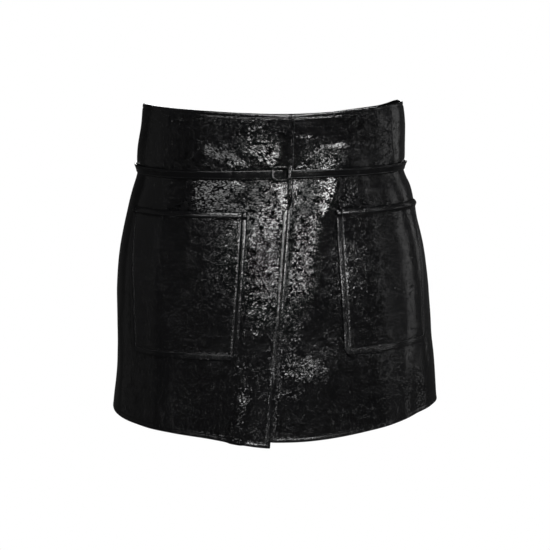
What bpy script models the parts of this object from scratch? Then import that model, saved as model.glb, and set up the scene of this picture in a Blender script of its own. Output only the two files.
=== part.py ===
"""A-line mini skirt in glossy coated cloth with a narrow self belt, in the hollow form of its wear.

Metres, +Z up. +X is the viewer's right and -Y the front. The origin is the middle of the waist, level
with the belt. Places on the cloth are given by their height and by their bearing, in degrees round the
waist from centre front, or by the distance along the cloth from centre front. Both are positive towards
the viewer's right.
"""

import math
from collections import namedtuple

import bmesh
import bpy
import numpy as np
from mathutils import Matrix, Vector

# Cloth, and the gaps that keep the pieces apart
WALL = 0.0015
SEAM_GAP = 0.0003
LAY_GAP = 0.0005

# Waist and hem edges: their height at the side seams, and how much lower they are at centre front and back.
# The larger a waist edge's curve, the further from the side seam its dip starts
TOP_HEIGHT = 0.074
TOP_DIP_FRONT = 0.0087
TOP_CURVE_FRONT = 1.7
TOP_DIP_BACK = 0.0225
TOP_CURVE_BACK = 1.3
HEM_HEIGHT = -0.281
HEM_DIP_FRONT = 0.0155
HEM_DIP_BACK = 0.008

# The front vent: the viewer's left panel laps over the right one, and its free edge leans to that side
VENT_HEIGHT = -0.036
SEAM_DRIFT = 0.0028  # how far the centre seam has strayed to the viewer's left where the vent starts
FLAP_LEAN = 0.094  # metres sideways for each metre down
FLAP_SAG = 0.0065
FLAP_SAG_BEARINGS = (-48.0, -6.0)
UNDERLAP = 0.034
LAP_DEPTH = WALL + LAY_GAP + SEAM_GAP
LAP_EASE = 0.016  # width over which the right panel sinks to pass under the flap

# Patch pockets
POCKET_TOP = -0.0386
POCKET_BOTTOM = -0.201
POCKET_CORNER = 0.007
POCKET_WALL = 0.0013
POCKET_GAPE = 0.0026
POCKET_GAPE_DEPTH = 0.045
POCKET_COLUMNS = 12
POCKET_ROWS = 9
POCKET_CORNER_TURNS = (30, 60, 90)
# Distance of each pocket's side edges from centre front, at top and bottom. side is -1 on the viewer's left
Pocket = namedtuple("Pocket", "name side inner_top inner_bottom outer_top outer_bottom")
POCKETS = (
    Pocket("pocket_left", -1, 0.0480, 0.0620, 0.197, 0.193),
    Pocket("pocket_right", 1, 0.0492, 0.0578, 0.184, 0.182),
)

# Belt and its covered slide buckle
BELT_WIDTH = 0.010
BELT_WALL = 0.0014
BELT_TAIL = 0.052  # free end beyond the buckle
BUCKLE_PLACE = -0.0112  # distance from centre front
BUCKLE_RISE = 0.0016  # how much higher than the strap it sits
BUCKLE_WIDTH = 0.0215
BUCKLE_HEIGHT = 0.0175
BUCKLE_CORNER = 0.006
BUCKLE_TUBE = 0.0036
BUCKLE_FLATTEN = 0.7
BUCKLE_STAND_OFF = 0.0054  # from the cloth to the middle of the frame
BUCKLE_BAR_RADIUS = 0.0008
BUCKLE_BAR_STAND_OFF = 0.0014
BUCKLE_POST_RADIUS = 0.00096
# Distances along the strap from the middle bar, positive towards the free end
STRAP_RISE = (-0.0065, -0.0010)
STRAP_SETTLE = (0.0010, 0.0050)
STRAP_STATIONS = (
    -0.012, -0.009, -0.0065, -0.005, -0.0038, -0.0024, -0.001, 0.001, 0.0024, 0.0038, 0.005, 0.008,
)
STRAP_TAIL_STEPS = 4

# Slider and pull tab of the invisible zip at centre back
SLIDER_BELOW_TOP = 0.007
SLIDER_SIZE = (0.0060, 0.0022, 0.0090)  # across, out from the cloth, and along it
SLIDER_DROP = 0.00225  # how far the middle of the slider is below its pin
SLIDER_BEVEL = 0.0005
LUG_WALL = 0.0010
LUG_REACH = 0.0012  # round the pin
LUG_ROOT = 0.0009  # how deep a lug's foot is sunk in the slider
PIN_RADIUS = 0.0005
PIN_STAND_OFF = 0.0044  # from the cloth to the pin's axis
TAB_CLEARANCE = 0.0003
TAB_BARREL_RADIUS = 0.00125
TAB_BARREL_LENGTH = 0.0026
TAB_NECK = 0.0011  # from the pin's axis to where the blade starts
TAB_WIDTH = 0.0044
TAB_WALL = 0.0010
TAB_LENGTH = 0.0150

# How finely the cloth is faceted
PANEL_COLUMNS = 18
UNDERLAP_COLUMNS = 3
BELT_STEP_DEGREES = 5.0
ROUNDNESS = 2.2  # exponent of the plan outline: 2 is an ellipse

# Plan of the worn form at each height: how far the cloth stands from the axis on each side
Section = namedtuple("Section", "height left right front back")
SECTIONS = (
    Section(-0.310, 0.196, 0.199, 0.129, 0.133),
    Section(-0.280, 0.193, 0.196, 0.128, 0.132),
    Section(-0.230, 0.187, 0.193, 0.127, 0.132),
    Section(-0.180, 0.185, 0.188, 0.125, 0.131),
    Section(-0.135, 0.184, 0.184, 0.124, 0.131),
    Section(-0.095, 0.180, 0.178, 0.121, 0.127),
    Section(-0.055, 0.171, 0.168, 0.118, 0.123),
    Section(-0.025, 0.163, 0.161, 0.115, 0.117),
    Section(-0.006, 0.157, 0.153, 0.112, 0.113),
    Section(0.008, 0.157, 0.154, 0.110, 0.110),
    Section(0.022, 0.156, 0.154, 0.109, 0.109),
    Section(0.050, 0.151, 0.154, 0.108, 0.108),
    Section(0.080, 0.148, 0.150, 0.106, 0.106),
)

# Soft folds that run down the cloth: the heights where each starts and is fullest, its width along the
# cloth, and how far it stands out, or sinks where that is below 0
Fold = namedtuple("Fold", "bearing start full width depth")
FOLDS = (
    Fold(-116.0, -0.120, -0.270, 0.020, 0.0030),
    Fold(-62.0, 0.070, 0.020, 0.014, 0.0012),
    Fold(-38.0, -0.210, -0.290, 0.022, -0.0020),
    Fold(44.0, -0.200, -0.285, 0.018, 0.0016),
    Fold(62.0, -0.170, -0.270, 0.016, -0.0026),
    Fold(77.0, -0.190, -0.275, 0.014, 0.0020),
    Fold(112.0, -0.100, -0.260, 0.022, -0.0034),
    Fold(141.0, -0.080, -0.270, 0.026, 0.0032),
    Fold(204.0, -0.110, -0.280, 0.026, -0.0028),
    Fold(222.0, -0.060, -0.240, 0.024, 0.0030),
)

Finish = namedtuple("Finish", "colour roughness metallic")
FINISHES = {
    "coated_cloth": Finish((0.010, 0.010, 0.011), 0.22, 0.0),
    "pocket_cloth": Finish((0.011, 0.011, 0.012), 0.24, 0.0),
    "belt_cloth": Finish((0.012, 0.012, 0.013), 0.26, 0.0),
    "buckle_cover": Finish((0.009, 0.009, 0.010), 0.20, 0.0),
    "zip_metal": Finish((0.020, 0.020, 0.022), 0.32, 0.9),
}


def smooth_step(value, start, end):
    t = np.clip((value - start) / (end - start), 0.0, 1.0)
    return t * t * (3.0 - 2.0 * t)


# --- The worn form ---


def reach(side, height):
    """How far the cloth stands from the axis on one side: a smooth curve through SECTIONS."""
    heights = np.array([row.height for row in SECTIONS])
    values = np.array([getattr(row, side) for row in SECTIONS])
    slopes = np.gradient(values, heights)
    low = np.clip(np.searchsorted(heights, height) - 1, 0, len(heights) - 2)
    span = heights[low + 1] - heights[low]
    t = (height - heights[low]) / span
    start = (1 + 2 * t) * (1 - t) ** 2 * values[low] + t * (1 - t) ** 2 * span * slopes[low]
    end = t**2 * (3 - 2 * t) * values[low + 1] + t**2 * (t - 1) * span * slopes[low + 1]
    return start + end


def plan_radius(bearing, height):
    """Distance from the axis to the outer face of the cloth, folds included."""
    angle = np.radians(bearing)
    across = np.where(np.sin(angle) > 0, reach("right", height), reach("left", height))
    along = np.where(np.cos(angle) > 0, reach("front", height), reach("back", height))
    inverse = np.abs(np.sin(angle) / across) ** ROUNDNESS + np.abs(np.cos(angle) / along) ** ROUNDNESS
    radius = inverse ** (-1.0 / ROUNDNESS)
    folds = 0.0
    for fold in FOLDS:
        turn = np.radians((bearing - fold.bearing + 180.0) % 360.0 - 180.0)
        fullness = smooth_step(height, fold.start, fold.full)
        folds = folds + fold.depth * fullness * np.exp(-((turn * radius / fold.width) ** 2))
    return radius + folds


def skin(bearing, height, out=0.0):
    """The point of the outer face there, moved out along the face's normal."""

    def point(turn, level):
        radius = float(plan_radius(turn, level))
        angle = math.radians(turn)
        return Vector((radius * math.sin(angle), -radius * math.cos(angle), level))

    small_turn, small_rise = 0.2, 0.0005
    across = point(bearing + small_turn, height) - point(bearing - small_turn, height)
    upward = point(bearing, height + small_rise) - point(bearing, height - small_rise)
    return point(bearing, height) + across.cross(upward).normalized() * out


def bearing_at(distance, height):
    """The bearing that lies this far along the cloth from centre front."""
    bearings = np.linspace(-180.0, 180.0, 1441)
    radius = plan_radius(bearings, height)
    x, y = radius * np.sin(np.radians(bearings)), -radius * np.cos(np.radians(bearings))
    run = np.concatenate([[0.0], np.cumsum(np.hypot(np.diff(x), np.diff(y)))])
    return float(np.interp(distance, run - run[len(run) // 2], bearings))


def top_line(bearing):
    facing = math.cos(math.radians(bearing))
    if facing > 0:
        return TOP_HEIGHT - TOP_DIP_FRONT * facing**TOP_CURVE_FRONT
    return TOP_HEIGHT - TOP_DIP_BACK * abs(facing) ** TOP_CURVE_BACK


def hem_line(bearing):
    facing = math.cos(math.radians(bearing))
    if facing > 0:
        return HEM_HEIGHT - HEM_DIP_FRONT * facing**2
    return HEM_HEIGHT - HEM_DIP_BACK * facing**2


def flap_hem_line(bearing):
    """The hem of the panel that laps over: its free corner hangs a little lower."""
    return hem_line(bearing) - FLAP_SAG * float(smooth_step(bearing, *FLAP_SAG_BEARINGS))


def front_edge(height):
    """Distance from centre front to the front seam and, below the vent's top, to the flap's edge."""
    drift = -SEAM_DRIFT * min(max(height / VENT_HEIGHT, 0.0), 1.0)
    return drift - FLAP_LEAN * max(VENT_HEIGHT - height, 0.0)


# Each panel's rows run between these lines, with this many steps from each line to the next
BELT_EDGES = (BELT_WIDTH / 2, -BELT_WIDTH / 2)
ROW_STEPS = (4, 2, 3, 9)
VENT_ROW = sum(ROW_STEPS[:3])


def row_heights(bearing, hem):
    """Heights of a panel's rows at this bearing, from the waist edge to the hem."""
    lines = (top_line(bearing), *BELT_EDGES, VENT_HEIGHT, hem(bearing))
    heights = [lines[0]]
    for upper, lower, steps in zip(lines, lines[1:], ROW_STEPS):
        heights += [upper + (lower - upper) * (step + 1) / steps for step in range(steps)]
    return heights


# --- Making objects ---


def material_for(finish_name, part_name):
    finish = FINISHES[finish_name]
    material = bpy.data.materials.new(part_name)
    material.use_nodes = True
    shader = material.node_tree.nodes["Principled BSDF"]
    shader.inputs["Base Color"].default_value = (*finish.colour, 1.0)
    shader.inputs["Roughness"].default_value = finish.roughness
    shader.inputs["Metallic"].default_value = finish.metallic
    material.diffuse_color = (*finish.colour, 1.0)
    return material


def add_object(name, mesh, collection, finish_name=None):
    made = bpy.data.objects.new(name, mesh)
    collection.objects.link(made)
    if finish_name:
        mesh.materials.clear()
        mesh.materials.append(material_for(finish_name, name))
    return made


def add_cloth(name, rows, wall, collection, finish_name, absent=lambda row, column: False):
    """A cloth wall behind a grid of outer points, given in rows from the top, each from the viewer's left."""
    work = bmesh.new()
    grid = [[work.verts.new(point) for point in row] for row in rows]
    for r in range(len(grid) - 1):
        for c in range(len(grid[0]) - 1):
            if not absent(r, c):
                work.faces.new((grid[r][c], grid[r + 1][c], grid[r + 1][c + 1], grid[r][c + 1]))
    bmesh.ops.delete(work, geom=[vert for vert in work.verts if not vert.link_faces], context="VERTS")
    mesh = bpy.data.meshes.new(name)
    work.to_mesh(mesh)
    work.free()
    mesh.shade_smooth()
    made = add_object(name, mesh, collection, finish_name)
    solidify = made.modifiers.new("Cloth wall", "SOLIDIFY")
    solidify.thickness = wall
    solidify.offset = -1.0
    solidify.use_even_offset = True
    return made


def panel_rows(left_edge, right_edge, columns, hem, out=lambda bearing, height: 0.0):
    """Outer points of a panel whose side edges are bearings that may change with height."""

    def edge_bearing(edge, row):
        bearing = 0.0
        for _ in range(4):
            bearing = edge(row_heights(bearing, hem)[row])
        return bearing

    rows = []
    for row in range(VENT_ROW + ROW_STEPS[3] + 1):
        first, last = edge_bearing(left_edge, row), edge_bearing(right_edge, row)
        points = []
        for column in range(columns + 1):
            bearing = first + (last - first) * column / columns
            height = row_heights(bearing, hem)[row]
            points.append(skin(bearing, height, out(bearing, height)))
        rows.append(points)
    return rows


def beside_seam(bearing, side):
    """An edge that runs along a seam, half a seam gap to one side of it."""
    return lambda height: bearing + side * math.degrees(SEAM_GAP / 2 / float(plan_radius(bearing, height)))


# --- Front panels ---


def add_front_left_panel(collection):
    """Laps over the other front panel below the top of the vent."""

    def free_edge(height):
        return bearing_at(front_edge(height) - SEAM_GAP / 2, height)

    rows = panel_rows(beside_seam(-90.0, 1), free_edge, PANEL_COLUMNS, flap_hem_line)
    return add_cloth("front_left_panel", rows, WALL, collection, "coated_cloth")


def lap_sink(bearing, height):
    """How far the right panel lies below the worn form, so that it passes under the flap."""
    to_flap = bearing_at(front_edge(height), height)
    ease = math.degrees(LAP_EASE / float(plan_radius(bearing, height)))
    across = float(smooth_step(bearing, to_flap + ease, to_flap))
    down = float(smooth_step(height, VENT_HEIGHT + LAP_EASE, VENT_HEIGHT))
    return -LAP_DEPTH * across * down


def add_front_right_panel(collection):
    """Meets the other panel at the front seam, and beside the vent has an underlap that goes behind it."""

    def underlap_edge(height):
        return bearing_at(front_edge(height) - UNDERLAP, height)

    def inner(height):
        """The seam, which goes straight on down behind the flap."""
        return bearing_at(front_edge(max(height, VENT_HEIGHT)) + SEAM_GAP / 2, height)

    main = panel_rows(inner, beside_seam(90.0, -1), PANEL_COLUMNS, hem_line, lap_sink)
    underlap = panel_rows(underlap_edge, inner, UNDERLAP_COLUMNS, hem_line, lap_sink)
    rows = [under[:-1] + row for under, row in zip(underlap, main)]
    return add_cloth(
        "front_right_panel", rows, WALL, collection, "coated_cloth",
        absent=lambda row, column: row < VENT_ROW and column < UNDERLAP_COLUMNS,
    )


# --- Back panels ---


def add_back_panels(collection):
    """Two plain halves that meet at the zip in the centre-back seam."""
    spans = {"back_right_panel": (90.0, 180.0), "back_left_panel": (180.0, 270.0)}
    for name, (first, last) in spans.items():
        rows = panel_rows(beside_seam(first, 1), beside_seam(last, -1), PANEL_COLUMNS, hem_line)
        add_cloth(name, rows, WALL, collection, "coated_cloth")


# --- Patch pockets ---


def pocket_heights():
    """Heights of a pocket's rows, closer together round the lower corners."""
    straight = np.linspace(POCKET_TOP, POCKET_BOTTOM + POCKET_CORNER, POCKET_ROWS + 1)
    quarter = [POCKET_CORNER * (1 - math.sin(math.radians(turn))) for turn in POCKET_CORNER_TURNS]
    return [*map(float, straight), *(POCKET_BOTTOM + rise for rise in quarter)]


def corner_inset(height):
    """How far the side edges turn in at the rounded lower corners."""
    rise = max(POCKET_BOTTOM + POCKET_CORNER - height, 0.0)
    return POCKET_CORNER - math.sqrt(max(POCKET_CORNER**2 - rise**2, 0.0))


def add_pocket(pocket, collection):
    """Lies on the front panel. The top edge gapes a little."""
    rows = []
    for height in pocket_heights():
        down = (POCKET_TOP - height) / (POCKET_TOP - POCKET_BOTTOM)
        inner = pocket.inner_top + (pocket.inner_bottom - pocket.inner_top) * down + corner_inset(height)
        outer = pocket.outer_top + (pocket.outer_bottom - pocket.outer_top) * down - corner_inset(height)
        gape = max(1 - (POCKET_TOP - height) / POCKET_GAPE_DEPTH, 0.0) ** 2
        points = []
        for column in range(POCKET_COLUMNS + 1):
            across = column / POCKET_COLUMNS
            bearing = bearing_at(pocket.side * (inner + (outer - inner) * across), height)
            out = LAY_GAP + POCKET_WALL + POCKET_GAPE * gape * 4 * across * (1 - across)
            points.append(skin(bearing, height, out))
        rows.append(points if pocket.side > 0 else points[::-1])
    return add_cloth(pocket.name, rows, POCKET_WALL, collection, "pocket_cloth")


# --- Belt ---


def strap_stand_off(travel):
    """Height of the strap's outer face over the cloth, at a distance beyond the buckle's middle bar.

    The free end comes in under the frame's right side, goes over the bar, and lies on the fixed end."""
    on_cloth = LAY_GAP + BELT_WALL
    over_bar = BUCKLE_BAR_STAND_OFF + BUCKLE_BAR_RADIUS + SEAM_GAP + BELT_WALL
    on_strap = on_cloth + SEAM_GAP + BELT_WALL
    rise = smooth_step(travel, *STRAP_RISE)
    settle = smooth_step(travel, *STRAP_SETTLE)
    return on_cloth + (over_bar - on_cloth) * rise + (on_strap - over_bar) * settle


def add_belt_strap(collection):
    """Leaves the buckle for the viewer's left, goes round the back and returns through the buckle."""
    bar = bearing_at(BUCKLE_PLACE, 0.0)
    fixed_end = bearing_at(BUCKLE_PLACE - BUCKLE_BAR_RADIUS - SEAM_GAP, 0.0)
    near_buckle = [bearing_at(BUCKLE_PLACE - travel, 0.0) - 360.0 for travel in STRAP_STATIONS]
    round_body = np.arange(fixed_end, near_buckle[0] + BELT_STEP_DEGREES / 2, -BELT_STEP_DEGREES)
    tip = bearing_at(BUCKLE_PLACE - BELT_TAIL, 0.0) - 360.0
    tail = np.linspace(near_buckle[-1], tip, STRAP_TAIL_STEPS + 1)[1:]
    rows = [[], [], []]
    for bearing in [*map(float, round_body), *near_buckle, *map(float, tail)]:
        radius = float(plan_radius(bearing, 0.0))
        beyond = math.radians(bar - 360.0 - bearing) * radius
        out = float(strap_stand_off(beyond))
        for row, rise in zip(rows, (0.5, 0.0, -0.5)):
            row.append(skin(bearing, rise * BELT_WIDTH, out))
    rows = [row[::-1] for row in rows]
    return add_cloth("belt_strap", rows, BELT_WALL, collection, "belt_cloth")


def rounded_rectangle(width, height, corner, steps=5):
    """Corner arcs of a rounded rectangle, anticlockwise."""
    points = []
    for quarter, (sx, sy) in enumerate(((1, 1), (-1, 1), (-1, -1), (1, -1))):
        centre = Vector((sx * (width / 2 - corner), sy * (height / 2 - corner)))
        for step in range(steps + 1):
            angle = math.radians(90 * (quarter + step / steps))
            points.append(centre + corner * Vector((math.cos(angle), math.sin(angle))))
    return points


def mesh_from_curve(curve):
    """The curve's tube as a mesh with its seams welded."""
    guide = bpy.data.objects.new("guide", curve)
    bpy.context.scene.collection.objects.link(guide)
    bpy.context.view_layer.update()
    mesh = bpy.data.meshes.new_from_object(guide.evaluated_get(bpy.context.evaluated_depsgraph_get()))
    bpy.data.objects.remove(guide)
    work = bmesh.new()
    work.from_mesh(mesh)
    bmesh.ops.remove_doubles(work, verts=work.verts, dist=1e-6)
    work.to_mesh(mesh)
    work.free()
    return mesh


def cylinder(name, radius, start, end, collection, sides=12):
    """A round bar between two points, in the space of whatever it is parented to."""
    start, end = Vector(start), Vector(end)
    work = bmesh.new()
    turn = Vector((0, 0, 1)).rotation_difference(end - start).to_matrix().to_4x4()
    place = Matrix.Translation((start + end) / 2) @ turn
    bmesh.ops.create_cone(
        work, cap_ends=True, segments=sides, radius1=radius, radius2=radius,
        depth=(end - start).length, matrix=place,
    )
    mesh = bpy.data.meshes.new(name)
    work.to_mesh(mesh)
    work.free()
    return add_object(name, mesh, collection)


def cut_or_join(target, other, operation, parent):
    """Boolean with a hidden helper that sits in the same local space as the target."""
    other.parent = parent
    other.hide_render = True
    other.display_type = "WIRE"
    step = target.modifiers.new(other.name, "BOOLEAN")
    step.operation = operation
    step.object = other
    step.solver = "EXACT"


def add_buckle(collection, cutters):
    """A rounded frame covered in the cloth, with a middle bar under the strap that two short posts carry."""
    bearing = bearing_at(BUCKLE_PLACE, 0.0)
    seat, outward = skin(bearing, 0.0), (skin(bearing, 0.0, 1.0) - skin(bearing, 0.0)).normalized()
    across = Vector((0, 0, 1)).cross(outward).normalized()
    upward = outward.cross(across)
    mount = bpy.data.objects.new("buckle_mount", None)
    collection.objects.link(mount)
    axes = Matrix((across, upward, outward)).transposed().to_4x4()
    centre = seat + outward * BUCKLE_STAND_OFF
    centre.z = BUCKLE_RISE
    mount.matrix_world = Matrix.Translation(centre) @ axes

    curve = bpy.data.curves.new("buckle_outline", "CURVE")
    curve.dimensions = "3D"
    outline = rounded_rectangle(
        BUCKLE_WIDTH - BUCKLE_TUBE, BUCKLE_HEIGHT - BUCKLE_TUBE, BUCKLE_CORNER - BUCKLE_TUBE / 2
    )
    spline = curve.splines.new("POLY")
    spline.points.add(len(outline) - 1)
    for knot, point in zip(spline.points, outline):
        knot.co = (point.x, point.y, 0.0, 1.0)
    spline.use_cyclic_u = True
    curve.bevel_depth = BUCKLE_TUBE / 2
    curve.bevel_resolution = 2
    mesh = mesh_from_curve(curve)
    mesh.transform(Matrix.Diagonal((1.0, 1.0, BUCKLE_FLATTEN, 1.0)))
    mesh.shade_smooth()
    frame = add_object("buckle_frame", mesh, collection, "buckle_cover")
    frame.parent = mount

    reach_y = (BUCKLE_HEIGHT - BUCKLE_TUBE) / 2
    bar_level = BUCKLE_BAR_STAND_OFF - BUCKLE_STAND_OFF
    bar = cylinder(
        "buckle_bar", BUCKLE_BAR_RADIUS,
        (0, -reach_y - BUCKLE_BAR_RADIUS, bar_level), (0, reach_y + BUCKLE_BAR_RADIUS, bar_level), cutters,
    )
    cut_or_join(frame, bar, "UNION", mount)
    for name, side in (("buckle_post_upper", 1), ("buckle_post_lower", -1)):
        post = cylinder(
            name, BUCKLE_POST_RADIUS, (0, side * reach_y, bar_level), (0, side * reach_y, 0), cutters
        )
        cut_or_join(frame, post, "UNION", mount)
    return frame


# --- Zip slider and pull tab ---


def box(name, size, centre, collection, bevel=0.0):
    work = bmesh.new()
    bmesh.ops.create_cube(work, size=1.0, matrix=Matrix.Translation(centre) @ Matrix.Diagonal((*size, 1.0)))
    mesh = bpy.data.meshes.new(name)
    work.to_mesh(mesh)
    work.free()
    made = add_object(name, mesh, collection)
    if bevel:
        rounding = made.modifiers.new("Rounded edges", "BEVEL")
        rounding.width = bevel
        rounding.segments = 2
    return made


def add_zip_pull(collection, cutters):
    """The slider lies on the centre-back seam, and its tab hangs from a pin between two lugs.

    The slider's mount leans with the cloth. The tab's mount is on the pin and upright, so the tab hangs."""
    height = top_line(180.0) - SLIDER_BELOW_TOP
    seat = skin(180.0, height)
    outward = (skin(180.0, height, 1.0) - seat).normalized()
    across = Vector((1, 0, 0))
    axes = Matrix((across, outward, across.cross(outward))).transposed().to_4x4()
    slider_mount = bpy.data.objects.new("slider_mount", None)
    tab_mount = bpy.data.objects.new("tab_mount", None)
    for mount in (slider_mount, tab_mount):
        collection.objects.link(mount)
    slider_mount.matrix_world = Matrix.Translation(seat) @ axes
    tab_mount.location = seat + outward * PIN_STAND_OFF

    depth = SLIDER_SIZE[1]
    slider_centre = (0, LAY_GAP + depth / 2, -SLIDER_DROP)
    slider = box("zip_slider", SLIDER_SIZE, slider_centre, collection, SLIDER_BEVEL)
    slider.data.materials.append(material_for("zip_metal", "zip_slider"))
    slider.parent = slider_mount
    lug_base = LAY_GAP + depth - LUG_ROOT
    lug_tip = PIN_STAND_OFF + LUG_REACH
    lug_centre_x = TAB_BARREL_LENGTH / 2 + TAB_CLEARANCE + LUG_WALL / 2
    for name, side in (("slider_lug_left", -1), ("slider_lug_right", 1)):
        lug = box(
            name, (LUG_WALL, lug_tip - lug_base, 2 * LUG_REACH),
            (side * lug_centre_x, (lug_tip + lug_base) / 2, 0), cutters,
        )
        cut_or_join(slider, lug, "UNION", slider_mount)
    pin = cylinder(
        "slider_pin", PIN_RADIUS, (-lug_centre_x, PIN_STAND_OFF, 0), (lug_centre_x, PIN_STAND_OFF, 0), cutters
    )
    cut_or_join(slider, pin, "UNION", slider_mount)

    half = TAB_BARREL_LENGTH / 2
    tab = cylinder("zip_tab", TAB_BARREL_RADIUS, (-half, 0, 0), (half, 0, 0), collection, sides=20)
    tab.data.materials.append(material_for("zip_metal", "zip_tab"))
    tab.parent = tab_mount
    end_down = TAB_LENGTH - TAB_WIDTH / 2
    blade = box(
        "tab_blade", (TAB_BARREL_LENGTH, TAB_WALL, end_down - TAB_NECK),
        (0, 0, -(end_down + TAB_NECK) / 2), cutters,
    )
    cut_or_join(tab, blade, "UNION", tab_mount)
    face = TAB_WALL / 2
    disc = cylinder("tab_disc", TAB_WIDTH / 2, (0, -face, -end_down), (0, face, -end_down), cutters, sides=24)
    cut_or_join(tab, disc, "UNION", tab_mount)
    bore_radius = PIN_RADIUS + TAB_CLEARANCE
    bore = cylinder("tab_bore", bore_radius, (-2 * half, 0, 0), (2 * half, 0, 0), cutters, sides=16)
    cut_or_join(tab, bore, "DIFFERENCE", tab_mount)


def main():
    for old in list(bpy.data.objects):
        bpy.data.objects.remove(old)
    skirt = bpy.data.collections.new("mini_skirt")
    cutters = bpy.data.collections.new("skirt_cutters")
    for collection in (skirt, cutters):
        bpy.context.scene.collection.children.link(collection)
    add_front_left_panel(skirt)
    add_front_right_panel(skirt)
    add_back_panels(skirt)
    for pocket in POCKETS:
        add_pocket(pocket, skirt)
    add_belt_strap(skirt)
    add_buckle(skirt, cutters)
    add_zip_pull(skirt, cutters)


main()
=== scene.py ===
import math

import bmesh
import bpy
import numpy as np
from mathutils import Matrix, Vector


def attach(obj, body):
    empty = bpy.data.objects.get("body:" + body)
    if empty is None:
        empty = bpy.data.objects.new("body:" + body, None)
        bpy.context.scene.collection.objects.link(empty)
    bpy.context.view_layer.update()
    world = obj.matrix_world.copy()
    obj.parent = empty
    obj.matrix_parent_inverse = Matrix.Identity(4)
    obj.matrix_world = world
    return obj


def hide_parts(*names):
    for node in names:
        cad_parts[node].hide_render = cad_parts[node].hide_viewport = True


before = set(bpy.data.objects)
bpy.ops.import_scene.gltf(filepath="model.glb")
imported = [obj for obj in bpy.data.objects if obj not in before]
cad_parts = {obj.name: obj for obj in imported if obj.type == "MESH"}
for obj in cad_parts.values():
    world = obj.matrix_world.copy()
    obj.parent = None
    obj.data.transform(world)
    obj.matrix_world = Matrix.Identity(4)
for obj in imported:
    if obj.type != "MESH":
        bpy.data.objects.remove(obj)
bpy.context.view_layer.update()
print("frame loaded:", len(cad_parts), "nodes")

body = "skirt"


# the worn form, the same as the solids: heights and distances in metres, bearings in degrees from centre
# front, positive at the viewer's right
wornForm = {
    "roundness": 2.2,
    # height, then how far the cloth stands from the axis at the left, right, front and back
    "sections": (
        (-0.310, 0.196, 0.199, 0.129, 0.133),
        (-0.280, 0.193, 0.196, 0.128, 0.132),
        (-0.230, 0.187, 0.193, 0.127, 0.132),
        (-0.180, 0.185, 0.188, 0.125, 0.131),
        (-0.135, 0.184, 0.184, 0.124, 0.131),
        (-0.095, 0.180, 0.178, 0.121, 0.127),
        (-0.055, 0.171, 0.168, 0.118, 0.123),
        (-0.025, 0.163, 0.161, 0.115, 0.117),
        (-0.006, 0.157, 0.153, 0.112, 0.113),
        (0.008, 0.157, 0.154, 0.110, 0.110),
        (0.022, 0.156, 0.154, 0.109, 0.109),
        (0.050, 0.151, 0.154, 0.108, 0.108),
        (0.080, 0.148, 0.150, 0.106, 0.106),
    ),
    # bearing, height where the fold starts, height where it is fullest, width, depth
    "folds": (
        (-116.0, -0.120, -0.270, 0.020, 0.0030),
        (-62.0, 0.070, 0.020, 0.014, 0.0012),
        (-38.0, -0.210, -0.290, 0.022, -0.0020),
        (44.0, -0.200, -0.285, 0.018, 0.0016),
        (62.0, -0.170, -0.270, 0.016, -0.0026),
        (77.0, -0.190, -0.275, 0.014, 0.0020),
        (112.0, -0.100, -0.260, 0.022, -0.0034),
        (141.0, -0.080, -0.270, 0.026, 0.0032),
        (204.0, -0.110, -0.280, 0.026, -0.0028),
        (222.0, -0.060, -0.240, 0.024, 0.0030),
    ),
    "top": {"height": 0.074, "dipFront": 0.0087, "curveFront": 1.7, "dipBack": 0.0225, "curveBack": 1.3},
    "backTop": {"drop": 0.0035, "bearings": (90.0, 112.0)},
    "hem": {"height": -0.281, "dipFront": 0.0155, "dipBack": 0.008},
}

vent = {
    "top": -0.036, "seamDrift": 0.0028, "lean": 0.094, "sag": 0.0065, "sagBearings": (-48.0, -6.0),
    "underlap": 0.034, "lapDepth": 0.0023, "lapEase": 0.045, "lapStart": 0.016,
    "crease": 0.26, "creaseLeast": 0.0050, "creaseMore": 0.0050, "creaseHeights": (-0.140, -0.060),
    "fade": 0.001,
}

cloth = {"wall": 0.0015, "gap": 0.0003, "seam": 0.00004, "step": 0.0017}


def smoothStep(value, start, end):
    t = np.clip((value - start) / (end - start), 0.0, 1.0)
    return t * t * (3.0 - 2.0 * t)


def sideReach(side, height):
    table = np.array(wornForm["sections"])
    heights, values = table[:, 0], table[:, 1 + side]
    slopes = np.gradient(values, heights)
    low = np.clip(np.searchsorted(heights, height) - 1, 0, len(heights) - 2)
    span = heights[low + 1] - heights[low]
    t = (height - heights[low]) / span
    start = (1 + 2 * t) * (1 - t) ** 2 * values[low] + t * (1 - t) ** 2 * span * slopes[low]
    end = t**2 * (3 - 2 * t) * values[low + 1] + t**2 * (t - 1) * span * slopes[low + 1]
    return start + end


def planRadius(bearing, height):
    angle = np.radians(bearing)
    across = np.where(np.sin(angle) > 0, sideReach(1, height), sideReach(0, height))
    along = np.where(np.cos(angle) > 0, sideReach(2, height), sideReach(3, height))
    power = wornForm["roundness"]
    inverse = np.abs(np.sin(angle) / across) ** power + np.abs(np.cos(angle) / along) ** power
    radius = inverse ** (-1.0 / power)
    folds = 0.0
    for foldBearing, start, full, width, depth in wornForm["folds"]:
        turn = np.radians((bearing - foldBearing + 180.0) % 360.0 - 180.0)
        folds = folds + depth * smoothStep(height, start, full) * np.exp(-((turn * radius / width) ** 2))
    return radius + folds


def formPoint(bearing, height):
    radius, angle = planRadius(bearing, height), np.radians(bearing)
    return np.stack([radius * np.sin(angle), -radius * np.cos(angle), height + 0 * bearing], axis=-1)


def formNormal(bearing, height):
    turn, rise = 0.2, 0.0005
    across = formPoint(bearing + turn, height) - formPoint(bearing - turn, height)
    upward = formPoint(bearing, height + rise) - formPoint(bearing, height - rise)
    normal = np.cross(across, upward)
    return normal / np.linalg.norm(normal, axis=-1, keepdims=True)


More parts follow.
